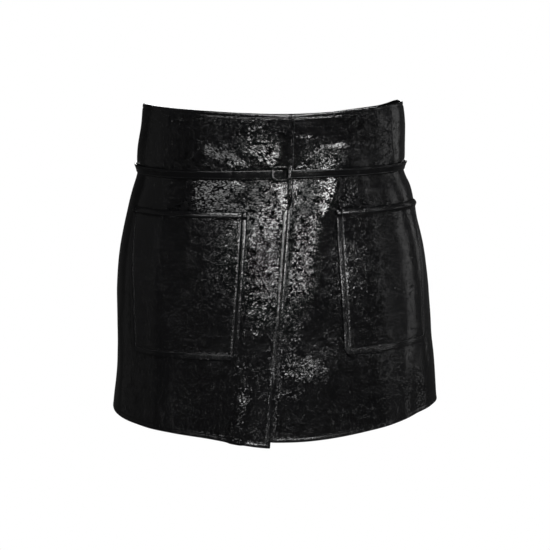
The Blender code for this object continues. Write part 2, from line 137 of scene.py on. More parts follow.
def measureTable(low=-0.320, high=0.090, rows=83, columns=1441):
    # how far along the cloth each bearing lies from centre front, at each height
    heights = np.linspace(low, high, rows)
    bearings = np.linspace(-180.0, 180.0, columns)
    radius = planRadius(bearings[None, :], heights[:, None])
    x, y = radius * np.sin(np.radians(bearings)), -radius * np.cos(np.radians(bearings))
    run = np.cumsum(np.hypot(np.diff(x, axis=1), np.diff(y, axis=1)), axis=1)
    run = np.concatenate([np.zeros((len(heights), 1)), run], axis=1)
    return heights, bearings, run - run[:, len(bearings) // 2][:, None]


tableHeights, tableBearings, tableRuns = measureTable()


def alongTable(value, height, forwards):
    # turns a distance along the cloth into a bearing, or the other way round
    value, height = np.broadcast_arrays(np.asarray(value, float), np.asarray(height, float))
    place = (height - tableHeights[0]) / (tableHeights[1] - tableHeights[0])
    place = np.clip(place, 0, len(tableHeights) - 1.001)
    low = place.astype(int)
    found = np.zeros(value.shape)
    for k in np.unique(low):
        here = low == k
        ends = []
        for row in (k, k + 1):
            known, wanted = (tableRuns[row], tableBearings) if forwards else (tableBearings, tableRuns[row])
            ends.append(np.interp(value[here], known, wanted))
        share = place[here] - k
        found[here] = (1 - share) * ends[0] + share * ends[1]
    return found


def bearingAt(distance, height):
    return alongTable(distance, height, True)


def distanceAt(bearing, height):
    return alongTable(bearing, height, False)


def topLine(bearing):
    top, facing = wornForm["top"], np.cos(np.radians(bearing))
    front = top["dipFront"] * np.abs(facing) ** top["curveFront"]
    back = top["dipBack"] * np.abs(facing) ** top["curveBack"]
    return top["height"] - np.where(facing > 0, front, back)


def hemLine(bearing):
    hem, facing = wornForm["hem"], np.cos(np.radians(bearing))
    return hem["height"] - np.where(facing > 0, hem["dipFront"], hem["dipBack"]) * facing**2


def flapHemLine(bearing):
    return hemLine(bearing) - vent["sag"] * smoothStep(bearing, *vent["sagBearings"])


def frontEdge(height):
    drift = -vent["seamDrift"] * np.clip(height / vent["top"], 0.0, 1.0)
    return drift - vent["lean"] * np.maximum(vent["top"] - height, 0.0)


# small shapes that press into the cloth or stand out of it
def softNoise(u, v, cell, seed, size=64):
    lattice = np.random.default_rng(seed).uniform(-1, 1, (size, size))
    a, b = np.asarray(u) / cell, np.asarray(v) / cell
    i, j = np.floor(a).astype(int), np.floor(b).astype(int)
    s, t = a - i, b - j
    s, t = s * s * s * (s * (6 * s - 15) + 10), t * t * t * (t * (6 * t - 15) + 10)
    corner = [[lattice[(i + p) % size, (j + q) % size] for q in (0, 1)] for p in (0, 1)]
    low = corner[0][0] * (1 - t) + corner[0][1] * t
    high = corner[1][0] * (1 - t) + corner[1][1] * t
    return low * (1 - s) + high * s


def groove(distance, width, depth):
    return -depth * np.exp(-((distance / width) ** 2))


def sewnGroove(distance, width, depth):
    # sharper at the bottom, where the thread pulls
    return -depth * np.exp(-np.abs(distance / width) ** 1.2)


def rollOff(distance, width, drop=None):
    # how far a rounded edge has fallen away at this distance from it
    t = 1.0 - np.clip(distance / width, 0.0, 1.0)
    return -(width if drop is None else drop) * (1.0 - np.sqrt(np.maximum(1.0 - t * t, 0.0)))


def puffedBand(distance, width, rise):
    # cloth swells between an edge and the stitching beside it
    t = np.clip(distance / width, 0.0, 1.0)
    return rise * 4 * t * (1 - t)


# each crease: its two ends as distance from centre front and height, how wide it is on its left or lower side
# and on its other side, how far it stands out, and its bow
creases = (
    # along the inner edge of the pocket at the viewer's left
    (-0.046, -0.050, -0.062, -0.200, 0.012, 0.020, 0.0018, 0.000),
    (-0.108, 0.000, -0.110, -0.050, 0.010, 0.024, 0.0008, 0.000),
    # the ridge that runs down from the belt to the vent, and the hollow beyond it
    (0.056, 0.002, 0.030, -0.052, 0.022, 0.006, 0.0020, -0.003),
    (0.030, -0.036, 0.010, -0.150, 0.014, 0.016, 0.0016, 0.000),
    (0.048, -0.050, 0.036, -0.190, 0.012, 0.030, -0.0018, 0.000),
    # across the front, above the hem
    (-0.050, -0.172, 0.014, -0.192, 0.024, 0.048, 0.0018, 0.000),
    (-0.034, -0.225, 0.052, -0.230, 0.018, 0.022, 0.0025, 0.000),
    (0.010, -0.262, 0.046, -0.266, 0.006, 0.008, 0.0006, 0.000),
    (0.070, -0.276, 0.095, -0.270, 0.010, 0.014, 0.0012, 0.000),
    (-0.060, -0.238, -0.070, -0.300, 0.006, 0.008, 0.0012, 0.000),
    (-0.073, -0.2825, -0.056, -0.2860, 0.020, 0.034, 0.0031, 0.000),
    (0.100, -0.205, 0.092, -0.260, 0.020, 0.012, 0.0014, 0.000),
    # waistband
    (-0.102, 0.024, -0.046, 0.002, 0.008, 0.012, 0.0017, 0.000),
    (-0.060, 0.031, -0.012, 0.005, 0.006, 0.030, 0.0015, 0.000),
    (-0.104, 0.056, -0.096, 0.036, 0.006, 0.008, 0.0007, 0.000),
    (-0.130, 0.088, 0.130, 0.088, 0.036, 0.030, 0.0090, 0.000),
    (0.018, 0.044, 0.019, 0.002, 0.018, 0.012, -0.0042, 0.000),
    (0.066, 0.032, 0.066, 0.002, 0.021, 0.016, 0.0018, 0.000),
    (0.084, 0.062, 0.094, 0.020, 0.010, 0.008, 0.0008, 0.003),
    (-0.150, 0.052, -0.143, 0.010, 0.007, 0.007, 0.0008, 0.000),
    (0.128, 0.062, 0.136, 0.012, 0.006, 0.006, 0.0009, 0.002),
    # round the back
    (-0.300, -0.030, -0.285, -0.150, 0.016, 0.016, 0.0014, 0.006),
    (-0.360, 0.030, -0.300, 0.012, 0.008, 0.008, 0.0007, 0.003),
    (0.290, -0.020, 0.300, -0.140, 0.015, 0.015, 0.0013, -0.006),
    (0.330, 0.036, 0.270, 0.014, 0.008, 0.008, 0.0007, 0.003),
    (0.380, -0.060, 0.345, -0.085, 0.009, 0.009, -0.0007, 0.004),
    (-0.385, -0.052, -0.345, -0.078, 0.009, 0.009, -0.0007, 0.004),
    (0.230, -0.180, 0.215, -0.285, 0.013, 0.013, -0.0011, 0.003),
    (-0.230, -0.150, -0.220, -0.270, 0.014, 0.014, 0.0012, 0.003),
)
creaseEnds = {"full": 0.32, "fade": 0.02}

# shallow dents where the belt draws the cloth in: distance, height, how wide and how high they are, and how
# far they stand out
dents = (
    (-0.052, -0.013, 0.014, 0.017, -0.0042),
    (0.008, -0.012, 0.013, 0.026, -0.0048),
)


def creaseRelief(distance, height):
    total = np.zeros(np.shape(distance))
    for s0, h0, wide, high, rise in dents:
        total = total + rise * np.exp(-(((distance - s0) / wide) ** 2) - ((height - h0) / high) ** 2)
    for s0, h0, s1, h1, before, after, rise, bow in creases:
        run, fall = s1 - s0, h1 - h0
        length = math.hypot(run, fall)
        t = ((distance - s0) * run + (height - h0) * fall) / length**2
        off = ((distance - s0) * fall - (height - h0) * run) / length
        off = off - bow * 4 * t * (1 - t)
        width = np.where(off > 0, before, after)
        ends = np.exp(-np.maximum(np.abs(t - 0.5) - creaseEnds["full"], 0.0) ** 2 / creaseEnds["fade"])
        total = total + rise * ends * np.exp(-((off / width) ** 2))
    return total


# slow unevenness: size, rise and seed
slowForm = {"wide": (0.075, 0.0006, 5), "middle": (0.031, 0.00022, 8), "fine": (0.012, 0.00007, 13)}
beltPress = {"height": 0.0005, "wide": 0.0060, "deep": 0.0006}


def bodyRelief(distance, height):
    # what the panels and everything that lies on them share
    relief = creaseRelief(distance, height)
    for cell, rise, seed in slowForm.values():
        relief = relief + rise * softNoise(distance + 3.0, height + 3.0, cell, seed)
    return relief + groove(np.abs(height - beltPress["height"]), beltPress["wide"], beltPress["deep"])


# everything made here rides on the skirt
def newObject(name, mesh, materials):
    made = bpy.data.objects.new(name, mesh)
    bpy.context.scene.collection.objects.link(made)
    for material in materials:
        mesh.materials.append(material)
    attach(made, body)
    return made


def setCalm(mesh, values):
    # where the cloth is drawn smooth, from 0 to 1 at each point
    calm = mesh.attributes.new("calm", "FLOAT", "POINT")
    calm.data.foreach_set("value", np.asarray(values, np.float32).ravel())


# where the sides start to hang smooth and where they stop, as distances round from the front
calmShape = {
    "share": 0.9, "start": (0.112, 0.150), "stop": (0.360, 0.310), "rightShift": 0.014,
    "beyond": 0.0015, "within": 0.0005, "hem": 0.0012,
}


def nearEdge(distance, width):
    return smoothStep(distance, width + calmShape["beyond"], width - calmShape["within"])


def calmCloth(distance, bearing, height, hem):
    # the sides hang smooth, and so do the waist edge and the hem
    around = np.where(distance > 0, distance + calmShape["rightShift"], -distance)
    sides = calmShape["share"] * smoothStep(around, *calmShape["start"])
    sides = sides * smoothStep(around, *calmShape["stop"])
    waist = nearEdge(topLine(bearing) - height, topFinish["band"])
    turned = nearEdge(height - hem(bearing), hemFinish["stitchUp"] + calmShape["hem"])
    return np.maximum(np.maximum(sides, waist), turned)


def gridMesh(name, points, present=None, closedAcross=False, calm=None):
    rows, columns = points.shape[:2]
    index = np.arange(rows * columns).reshape(rows, columns)
    right = np.roll(index, -1, axis=1) if closedAcross else index[:, 1:]
    left = index if closedAcross else index[:, :-1]
    faces = np.stack([left[:-1], left[1:], right[1:], right[:-1]], axis=-1)
    if present is not None:
        faces = faces[present]
    faces = faces.reshape(-1, 4)
    used, faces = np.unique(faces, return_inverse=True)
    mesh = bpy.data.meshes.new(name)
    mesh.from_pydata(points.reshape(-1, 3)[used].tolist(), [], faces.reshape(-1, 4).tolist())
    mesh.polygons.foreach_set("use_smooth", np.ones(len(mesh.polygons), bool))
    if calm is not None:
        setCalm(mesh, np.broadcast_to(calm, points.shape[:2]).reshape(-1)[used])
    return mesh


def addShell(name, points, wall, materials, present=None, calm=None):
    made = newObject(name, gridMesh(name, points, present, calm=calm), materials)
    solid = made.modifiers.new("Cloth wall", "SOLIDIFY")
    solid.thickness = wall
    solid.offset = -1.0
    solid.use_even_offset = False
    solid.material_offset = 1 if len(materials) > 1 else 0
    return made


def steps(length, step, fineStart=True, fineEnd=True):
    # shares of a length, closer together near the ends so that edges come out round
    millimetres = [0.0, 0.25, 0.6, 1.05, 1.6, 2.2, 2.9, 3.6, 4.2, 4.8, 5.4, 5.9, 6.4, 6.9, 7.4, 7.9, 8.5, 9.4]
    fine = np.array(millimetres) / 1000
    start = fine if fineStart else np.array([0.0])
    end = (length - fine)[::-1] if fineEnd else np.array([length])
    count = max(int(round((end[0] - start[-1]) / step)), 1)
    middle = np.linspace(start[-1], end[0], count + 1)[1:-1]
    return np.concatenate([start, middle, end]) / length


def panelGrid(leftEdge, rightEdge, across, hem, down, waist=topLine):
    # down is a share of the height above the vent's top, and 1 and more below it
    u, v = np.meshgrid(across, down)
    bearing = leftEdge(0 * v) + (rightEdge(0 * v) - leftEdge(0 * v)) * u
    for _ in range(5):
        top, bottom = waist(bearing), hem(bearing)
        upper = top + (vent["top"] - top) * np.minimum(v, 1.0)
        height = np.where(v <= 1.0, upper, vent["top"] + (bottom - vent["top"]) * (v - 1.0))
        first, last = leftEdge(height), rightEdge(height)
        bearing = first + (last - first) * u
    return bearing, height


def backTopLine(bearing):
    turned = np.abs((bearing + 180.0) % 360.0 - 180.0)
    back = wornForm["backTop"]
    return topLine(bearing) - back["drop"] * smoothStep(turned, *back["bearings"])


def besideSeam(bearing, side):
    return lambda height: bearing + side * np.degrees(cloth["seam"] / 2 / planRadius(bearing, height))


downSteps = np.concatenate([
    steps(topLine(0.0) - vent["top"], cloth["step"], fineEnd=False),
    1.0 + steps(vent["top"] - hemLine(0.0), cloth["step"], fineStart=False)[1:],
])

hemFinish = {"stitchUp": 0.0052, "edgeRoll": 0.0016, "band": 0.00010, "groove": 0.00014, "grooveWide": 0.0011}
topFinish = {
    "roll": 0.0016, "band": 0.0046, "groove": 0.0006, "grooveWide": 0.0010,
    "lean": 0.32, "leanLeast": 0.15, "leanBearing": -1.0, "leanSpread": 11.0,
}
panelSide = {"span": 0.245, "roll": 0.0016, "backRoll": 0.0018, "underlapSpan": 0.055, "underlapStep": 0.0028}


def edgeRelief(bearing, height, hem, waist=topLine):
    # rolled waist edge and turned-up hem
    fromTop, fromHem = waist(bearing) - height, height - hem(bearing)
    band = topFinish["band"]
    middle = np.exp(-(((bearing - topFinish["leanBearing"]) / topFinish["leanSpread"]) ** 2))
    lean = topFinish["lean"] * (topFinish["leanLeast"] + (1 - topFinish["leanLeast"]) * middle)
    relief = rollOff(fromTop, topFinish["roll"]) - lean * np.maximum(band - fromTop, 0.0)
    relief = relief + groove(fromTop - band, topFinish["grooveWide"], topFinish["groove"])
    relief = relief + rollOff(fromHem, hemFinish["edgeRoll"])
    relief = relief + puffedBand(fromHem, hemFinish["stitchUp"], hemFinish["band"])
    return relief + groove(fromHem - hemFinish["stitchUp"], hemFinish["grooveWide"], hemFinish["groove"])


def placed(bearing, height, out):
    return formPoint(bearing, height) + formNormal(bearing, height) * out[..., None]


pocketShape = {
    "top": -0.0386, "bottom": -0.201, "corner": 0.007, "wall": 0.0013, "gape": 0.0026, "gapeDepth": 0.045,
    "span": 0.14, "step": 0.0016,
}
pocketPressing = {
    "wide": 0.0035, "deep": 0.0004, "above": 0.004, "below": 0.006, "least": 0.2, "bottomFade": 0.014,
}
pockets = {
    "left": {"side": -1, "innerTop": 0.0480, "innerBottom": 0.0620, "outerTop": 0.197, "outerBottom": 0.193,
             "edge": (0.0018, 0.0009), "swell": 0.0008, "groove": 0.0007},
    "right": {"side": 1, "innerTop": 0.0492, "innerBottom": 0.0578, "outerTop": 0.184, "outerBottom": 0.182,
              "edge": (0.0010, 0.0011), "swell": 0.0004, "groove": 0.0004},
}
layGap = 0.0005


def pocketEdges(pocket, height):
    down = (pocketShape["top"] - height) / (pocketShape["top"] - pocketShape["bottom"])
    inner = pocket["innerTop"] + (pocket["innerBottom"] - pocket["innerTop"]) * down
    outer = pocket["outerTop"] + (pocket["outerBottom"] - pocket["outerTop"]) * down
    return inner, outer


def pocketInside(pocket, distance, height):
    # distance in from the nearest sewn edge of the pocket; below 0 outside it
    inner, outer = pocketEdges(pocket, height)
    away = distance * pocket["side"]
    fromSide, fromBottom = np.minimum(away - inner, outer - away), height - pocketShape["bottom"]
    corner = pocketShape["corner"]
    turned = corner - np.hypot(corner - np.minimum(fromSide, corner), corner - np.minimum(fromBottom, corner))
    return np.where((fromSide < corner) & (fromBottom < corner), turned, np.minimum(fromSide, fromBottom))


def pocketPress(distance, height):
    # the panel is drawn in along the pocket's sewn edges
    top, press = pocketShape["top"], pocketPressing
    below = smoothStep(height, top + press["above"], top - press["below"])
    bottomShare = smoothStep(height - pocketShape["bottom"], 0.0, press["bottomFade"])
    below = below * (press["least"] + (1 - press["least"]) * bottomShare)
    total = 0.0
    for pocket in pockets.values():
        total = total + groove(pocketInside(pocket, distance, height), press["wide"], press["deep"]) * below
    return total


# materials, and the node groups that they share
def newMaterial(name, constants, colour):
    material = bpy.data.materials.new(name)
    material.use_nodes = True
    shader = material.node_tree.nodes["Principled BSDF"]
    shader.inputs["Base Color"].default_value = colour
    for socket, value in constants.items():
        shader.inputs[socket].default_value = value
    return material, material.node_tree, shader


def groupOf(name, inputs, outputs):
    group = bpy.data.node_groups.new(name, "ShaderNodeTree")
    for label, kind, value in inputs:
        socket = group.interface.new_socket(name=label, in_out="INPUT", socket_type=kind)
        if value is not None:
            socket.default_value = value
    for label, kind in outputs:
        group.interface.new_socket(name=label, in_out="OUTPUT", socket_type=kind)
    return group, group.nodes.new("NodeGroupInput"), group.nodes.new("NodeGroupOutput")


def node(tree, kind, settings=None, links=None, **values):
    made = tree.nodes.new(kind)
    for name, value in (settings or {}).items():
        setattr(made, name, value)
    for name, value in values.items():
        made.inputs[name].default_value = value
    for name, source in (links or {}).items():
        tree.links.new(source, made.inputs[name])
    return made


def maths(tree, operation, *values):
    made = tree.nodes.new("ShaderNodeMath")
    made.operation = operation
    for slot, value in enumerate(values):
        if isinstance(value, float):
            made.inputs[slot].default_value = value
        else:
            tree.links.new(value, made.inputs[slot])
    return made.outputs[0]


unrollRadius = 0.165  # about the skirt's mean radius


def unrolledGroup():
    # lays the cloth out flat: X is the distance round from centre front, Y is the height
    place, flat = ("Place", "NodeSocketVector", None), ("Flat", "NodeSocketVector")
    group, start, end = groupOf("unrolled", [place], [flat])
    split = node(group, "ShaderNodeSeparateXYZ", links={0: start.outputs["Place"]})
    turn = maths(group, "ARCTAN2", split.outputs["X"], maths(group, "MULTIPLY", split.outputs["Y"], -1.0))
    distance = maths(group, "MULTIPLY", turn, unrollRadius)
    joined = node(group, "ShaderNodeCombineXYZ", links={0: distance, 1: split.outputs["Z"]})
    group.links.new(joined.outputs[0], end.inputs["Flat"])
    return group


pitSteepness = 0.95


def crushedGrainGroup():
    # fine crushed grain: small leaning facets, a share of them deep pits, drawn out along Turn by Stretch
    numbers = {"Size": 0.002, "Stretch": 2.0, "Turn": 0.0, "Tilt": 0.3, "Pits": 0.0, "Force": 1.0}
    sockets = [("Flat", "NodeSocketVector", None)]
    sockets += [(label, "NodeSocketFloat", value) for label, value in numbers.items()]
    results = [("Height", "NodeSocketFloat"), ("Shade", "NodeSocketFloat")]
    group, start, end = groupOf("crushedGrain", sockets, results)
    turned = node(group, "ShaderNodeVectorRotate", {"rotation_type": "Z_AXIS"},
                  {"Vector": start.outputs["Flat"], "Angle": start.outputs["Turn"]})
    split = node(group, "ShaderNodeSeparateXYZ", links={0: turned.outputs[0]})
    across = maths(group, "DIVIDE", maths(group, "DIVIDE", split.outputs["X"], start.outputs["Size"]),
                   start.outputs["Stretch"])
    down = maths(group, "DIVIDE", split.outputs["Y"], start.outputs["Size"])
    spot = node(group, "ShaderNodeCombineXYZ", links={0: across, 1: down})
    cells = node(group, "ShaderNodeTexVoronoi", {"voronoi_dimensions": "2D"},
                 {"Vector": spot.outputs[0]}, Scale=1.0)
    away = node(group, "ShaderNodeVectorMath", {"operation": "SUBTRACT"},
                {0: spot.outputs[0], 1: cells.outputs["Position"]})
    chance = node(group, "ShaderNodeVectorMath", {"operation": "SUBTRACT"}, {0: cells.outputs["Color"]})
    chance.inputs[1].default_value = (0.5, 0.5, 0.0)
    size = node(group, "ShaderNodeVectorMath", {"operation": "ABSOLUTE"}, {0: chance.outputs[0]})
    skewed = node(group, "ShaderNodeVectorMath", {"operation": "MULTIPLY"},
                  {0: chance.outputs[0], 1: size.outputs[0]})
    lean = node(group, "ShaderNodeVectorMath", {"operation": "MULTIPLY"},
                {0: away.outputs[0], 1: skewed.outputs[0]})
    leanParts = node(group, "ShaderNodeSeparateXYZ", links={0: lean.outputs[0]})
    cellParts = node(group, "ShaderNodeSeparateXYZ", links={0: chance.outputs[0]})
    pit = maths(group, "LESS_THAN", cellParts.outputs["Z"], start.outputs["Pits"])
    awayParts = node(group, "ShaderNodeSeparateXYZ", links={0: away.outputs[0]})
    steep = maths(group, "MULTIPLY", awayParts.outputs["Y"], maths(group, "SIGN", cellParts.outputs["Y"]))
    even = maths(group, "ADD", leanParts.outputs["X"], leanParts.outputs["Y"])
    rise = maths(group, "ADD", maths(group, "MULTIPLY", even, start.outputs["Tilt"]),
                 maths(group, "MULTIPLY", maths(group, "MULTIPLY", steep, pit), pitSteepness))
    sized = maths(group, "MULTIPLY", rise, start.outputs["Size"])
    height = maths(group, "MULTIPLY", sized, start.outputs["Force"])
    group.links.new(height, end.inputs["Height"])
    group.links.new(cellParts.outputs["X"], end.inputs["Shade"])
    return group


unrolled, crushedGrain = unrolledGroup(), crushedGrainGroup()


def grainIn(tree, sources, size, tilt, stretch, turn):
    return node(tree, "ShaderNodeGroup", {"node_tree": crushedGrain}, sources,
                Size=size, Stretch=stretch, Turn=math.radians(turn), Tilt=tilt)


def blendOf(tree, share, a, b):
    mix = node(tree, "ShaderNodeMix", {"data_type": "FLOAT"})
    tree.links.new(share, mix.inputs[0])
    tree.links.new(a, mix.inputs[2])
    tree.links.new(b, mix.inputs[3])
    return mix.outputs[0]


vinylLook = {
    "colour": (0.0019, 0.0019, 0.0021, 1.0), "rough": (0.09, 0.22), "calmed": 0.92,
    "grainSize": 0.00090, "tilt": 0.45, "pits": 0.49,
    "clumps": 1.5, "clumpStretch": (0.65, 1.0, 1.0), "clumpScale": 120.0,
    "ripple": 0.00022, "rippleScale": 150.0, "patchScale": 14.0, "patchFrom": 0.52,
}
# size, stretch and turn in degrees: the plain grain, the level patches in it, and the slanting lines above the
# belt at the viewer's left
grainRuns = {"plain": (1.0, 1.2, 8.0), "level": (0.85, 2.6, 2.0), "slanted": (0.85, 3.2, 25.0)}


def softTexture(tree, vector, scale, detail=1.0):
    texture = node(tree, "ShaderNodeTexNoise", {"noise_dimensions": "2D"}, {"Vector": vector},
                   Scale=scale, Detail=detail)
    return texture.outputs["Fac"]


def vinylMaterial(name, size=1.0, tilt=1.0, pitted=True):
    material, tree, shader = newMaterial(name, {"Roughness": 0.12, "IOR": 1.5}, vinylLook["colour"])
    place = node(tree, "ShaderNodeTexCoord").outputs["Object"]
    flat = node(tree, "ShaderNodeGroup", {"node_tree": unrolled}, {"Place": place}).outputs["Flat"]
    size, tilt = vinylLook["grainSize"] * size, vinylLook["tilt"] * tilt
    calm = node(tree, "ShaderNodeAttribute", {"attribute_name": "calm"}).outputs["Fac"]
    force = maths(tree, "SUBTRACT", 1.0, maths(tree, "MULTIPLY", calm, vinylLook["calmed"]))
    sources = {"Flat": flat, "Force": force}
    if pitted:
        # the pits come in clumps about a centimetre wide
        drawn = node(tree, "ShaderNodeVectorMath", {"operation": "MULTIPLY"}, {0: flat})
        drawn.inputs[1].default_value = vinylLook["clumpStretch"]
        clumps = softTexture(tree, drawn.outputs[0], vinylLook["clumpScale"], 2.0)
        swing = maths(tree, "MULTIPLY", maths(tree, "SUBTRACT", clumps, 0.5), vinylLook["clumps"])
        sources["Pits"] = maths(tree, "ADD", swing, vinylLook["pits"])
    plain, level, slanted = [grainIn(tree, sources, size * share, tilt, stretch, turn)
                             for share, stretch, turn in grainRuns.values()]
    ripples = maths(tree, "MULTIPLY", softTexture(tree, flat, vinylLook["rippleScale"]), force)
    ripple = maths(tree, "MULTIPLY", ripples, vinylLook["ripple"])
    patches = softTexture(tree, flat, vinylLook["patchScale"])
    pick = maths(tree, "GREATER_THAN", patches, vinylLook["patchFrom"])
    split = node(tree, "ShaderNodeSeparateXYZ", links={0: flat})
    waist = maths(tree, "MULTIPLY", maths(tree, "GREATER_THAN", split.outputs["Y"], 0.0),
                  maths(tree, "LESS_THAN", split.outputs["X"], 0.0))
    height = blendOf(tree, pick, plain.outputs["Height"], level.outputs["Height"])
    height = blendOf(tree, waist, height, slanted.outputs["Height"])
    even = node(tree, "ShaderNodeMapRange", links={"Value": plain.outputs["Shade"]})
    even.inputs["From Min"].default_value, even.inputs["From Max"].default_value = -0.5, 0.5
    even.inputs["To Min"].default_value, even.inputs["To Max"].default_value = vinylLook["rough"]
    tree.links.new(even.outputs[0], shader.inputs["Roughness"])
    height = maths(tree, "ADD", height, ripple)
    bump = node(tree, "ShaderNodeBump", links={"Height": height}, Strength=1.0, Distance=1.0)
    tree.links.new(bump.outputs[0], shader.inputs["Normal"])
    return material


plainLook = {"bump": 0.4, "roughLeast": 0.85, "roughMost": 1.15}


def plainMaterial(name, colour, constants, size, depth):
    # a fine even texture, for thread, backing cloth and metal
    material, tree, shader = newMaterial(name, constants, colour)
    place = node(tree, "ShaderNodeTexCoord").outputs["Object"]
    texture = node(tree, "ShaderNodeTexNoise", links={"Vector": place}, Scale=1.0 / size, Detail=2.0)
    bump = node(tree, "ShaderNodeBump", links={"Height": texture.outputs["Fac"]},
                Strength=plainLook["bump"], Distance=depth)
    tree.links.new(bump.outputs[0], shader.inputs["Normal"])
    rough = node(tree, "ShaderNodeMapRange", links={"Value": texture.outputs["Fac"]})
    rough.inputs["To Min"].default_value = constants["Roughness"] * plainLook["roughLeast"]
    rough.inputs["To Max"].default_value = constants["Roughness"] * plainLook["roughMost"]
    tree.links.new(rough.outputs[0], shader.inputs["Roughness"])
    return material


panelVinyl = vinylMaterial("panelVinyl")
pocketVinyl = vinylMaterial("pocketVinyl", size=0.95)
beltVinyl = vinylMaterial("beltVinyl", size=0.6, tilt=0.25, pitted=False)
backing = plainMaterial("backingCloth", (0.006, 0.006, 0.007, 1.0),
                        {"Roughness": 0.85, "Specular IOR Level": 0.2}, size=0.0007, depth=0.0002)
thread = plainMaterial("thread", (0.004, 0.004, 0.0045, 1.0),
                       {"Roughness": 0.35, "Specular IOR Level": 0.5}, size=0.0003, depth=0.0001)
metal = plainMaterial("blackMetal", (0.015, 0.015, 0.017, 1.0),
                      {"Roughness": 0.30, "Metallic": 0.85}, size=0.002, depth=0.0001)
print("materials made")


# front panel at the viewer's left, with the lapped edge
flapFinish = {
    "stitchIn": 0.0048, "leastIn": 0.0004, "turn": 0.008, "stitchTo": -0.2985, "calmBeyond": 0.0008,
    "swell": 0.0002, "groove": 0.0003, "grooveWide": 0.0012, "thinned": 0.22, "thinnedFrom": 0.0042,
    "edgeRoll": (0.0022, 0.0010), "seamRoll": (0.0024, 0.0016),
}


def stitchInset(height):
    # the stitching curves out from the seam at the vent's top and then follows the edge
    t = np.clip((vent["top"] - height) / flapFinish["turn"], 0.0, 1.0)
    return flapFinish["stitchIn"] * np.sqrt(np.maximum(1 - (1 - t) ** 2, 0.0))


def frontLeftRelief(bearing, height):
    distance = distanceAt(bearing, height)
    fromEdge = frontEdge(height) - cloth["gap"] / 2 - distance
    below = smoothStep(height, vent["top"] + vent["fade"], vent["top"] - vent["fade"])
    inset = np.maximum(stitchInset(height), flapFinish["leastIn"])
    lapped = puffedBand(fromEdge, inset, flapFinish["swell"])
    lapped = lapped + sewnGroove(fromEdge - inset, flapFinish["grooveWide"], flapFinish["groove"])
    lapped = lapped - flapFinish["thinned"] * np.maximum(flapFinish["thinnedFrom"] - fromEdge, 0.0)
    lapped = lapped + rollOff(fromEdge, *flapFinish["edgeRoll"])
    seamed = rollOff(fromEdge, *flapFinish["seamRoll"])
    relief = bodyRelief(distance, height) + below * lapped + (1 - below) * seamed
    relief = relief + pocketPress(distance, height) + edgeRelief(bearing, height, flapHemLine)
    return relief + rollOff(distance - distanceAt(-90.0, height), panelSide["roll"])


def seamGap(height):
    return np.where(height > vent["top"] + vent["fade"], cloth["seam"], cloth["gap"])


def freeEdge(height):
    return bearingAt(frontEdge(height) - seamGap(height) / 2, height)


def buildFrontLeft():
    across = steps(panelSide["span"], cloth["step"])
    bearing, height = panelGrid(besideSeam(-90.0, 1), freeEdge, across, flapHemLine, downSteps)
    points = placed(bearing, height, frontLeftRelief(bearing, height))
    distance = distanceAt(bearing, height)
    calm = calmCloth(distance, bearing, height, flapHemLine)
    lapped = nearEdge(frontEdge(height) - distance, stitchInset(height) + flapFinish["calmBeyond"])
    calm = np.maximum(calm, lapped * (height < vent["top"] + vent["fade"]))
    made = addShell("frontLeft", points, cloth["wall"], [panelVinyl, backing], calm=calm)
    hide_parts("front_left_panel")
    return made


# front panel at the viewer's right, with the underlap
seamFinish = {
    "stitchIn": 0.0034, "groove": 0.0003, "grooveWide": 0.0010, "roll": (0.0024, 0.0016), "calmUnder": 0.0025,
}


def lapSink(distance, height):
    # the cloth lies deeper under the flap, with a crease along it that is wider higher up
    beyond = distance - frontEdge(height)
    creased = vent["creaseLeast"] + vent["creaseMore"] * smoothStep(height, *vent["creaseHeights"])
    sunk = vent["lapDepth"] * smoothStep(beyond, vent["lapEase"], 0.0)
    sunk = sunk + vent["crease"] * creased * smoothStep(beyond, creased, 0.0)
    return -sunk * smoothStep(height, vent["top"] + vent["lapStart"], vent["top"])


def frontRightRelief(bearing, height):
    distance = distanceAt(bearing, height)
    fromSeam = np.abs(distance - frontEdge(np.maximum(height, vent["top"])) - cloth["gap"] / 2)
    above = smoothStep(height, vent["top"] - vent["fade"], vent["top"] + vent["fade"])
    fromStitches = fromSeam - seamFinish["stitchIn"]
    seamed = rollOff(fromSeam, *seamFinish["roll"])
    seamed = seamed + groove(fromStitches, seamFinish["grooveWide"], seamFinish["groove"])
    relief = bodyRelief(distance, height) + above * seamed + lapSink(distance, height)
    relief = relief + pocketPress(distance, height) + edgeRelief(bearing, height, hemLine)
    return relief + rollOff(distanceAt(90.0, height) - distance, panelSide["roll"])


def underlapEdge(height):
    return bearingAt(frontEdge(height) - vent["underlap"], height)


def innerLine(height):
    return bearingAt(frontEdge(np.maximum(height, vent["top"])) + seamGap(height) / 2, height)


def buildFrontRight():
    across = steps(panelSide["span"], cloth["step"])
    tucked = steps(panelSide["underlapSpan"], panelSide["underlapStep"], fineEnd=False)
    main = panelGrid(innerLine, besideSeam(90.0, -1), across, hemLine, downSteps)
    under = panelGrid(underlapEdge, innerLine, tucked, hemLine, downSteps)
    bearing = np.concatenate([under[0][:, :-1], main[0]], axis=1)
    height = np.concatenate([under[1][:, :-1], main[1]], axis=1)
    points = placed(bearing, height, frontRightRelief(bearing, height))
    present = np.ones((len(downSteps) - 1, points.shape[1] - 1), bool)
    ventRow = int(np.argmin(np.abs(downSteps - 1.0)))
    present[:ventRow, : under[0].shape[1] - 1] = False
    distance = distanceAt(bearing, height)
    calm = calmCloth(distance, bearing, height, hemLine)
    tuckedIn = nearEdge(distance - frontEdge(height), seamFinish["calmUnder"])
    calm = np.maximum(calm, tuckedIn * (height < vent["top"]))
    made = addShell("frontRight", points, cloth["wall"], [panelVinyl, backing], present, calm)
    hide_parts("front_right_panel")
    return made


# back panels, plain, meeting at the zip
backSpans = {"backRight": ("back_right_panel", 90.0, 180.0), "backLeft": ("back_left_panel", 180.0, 270.0)}


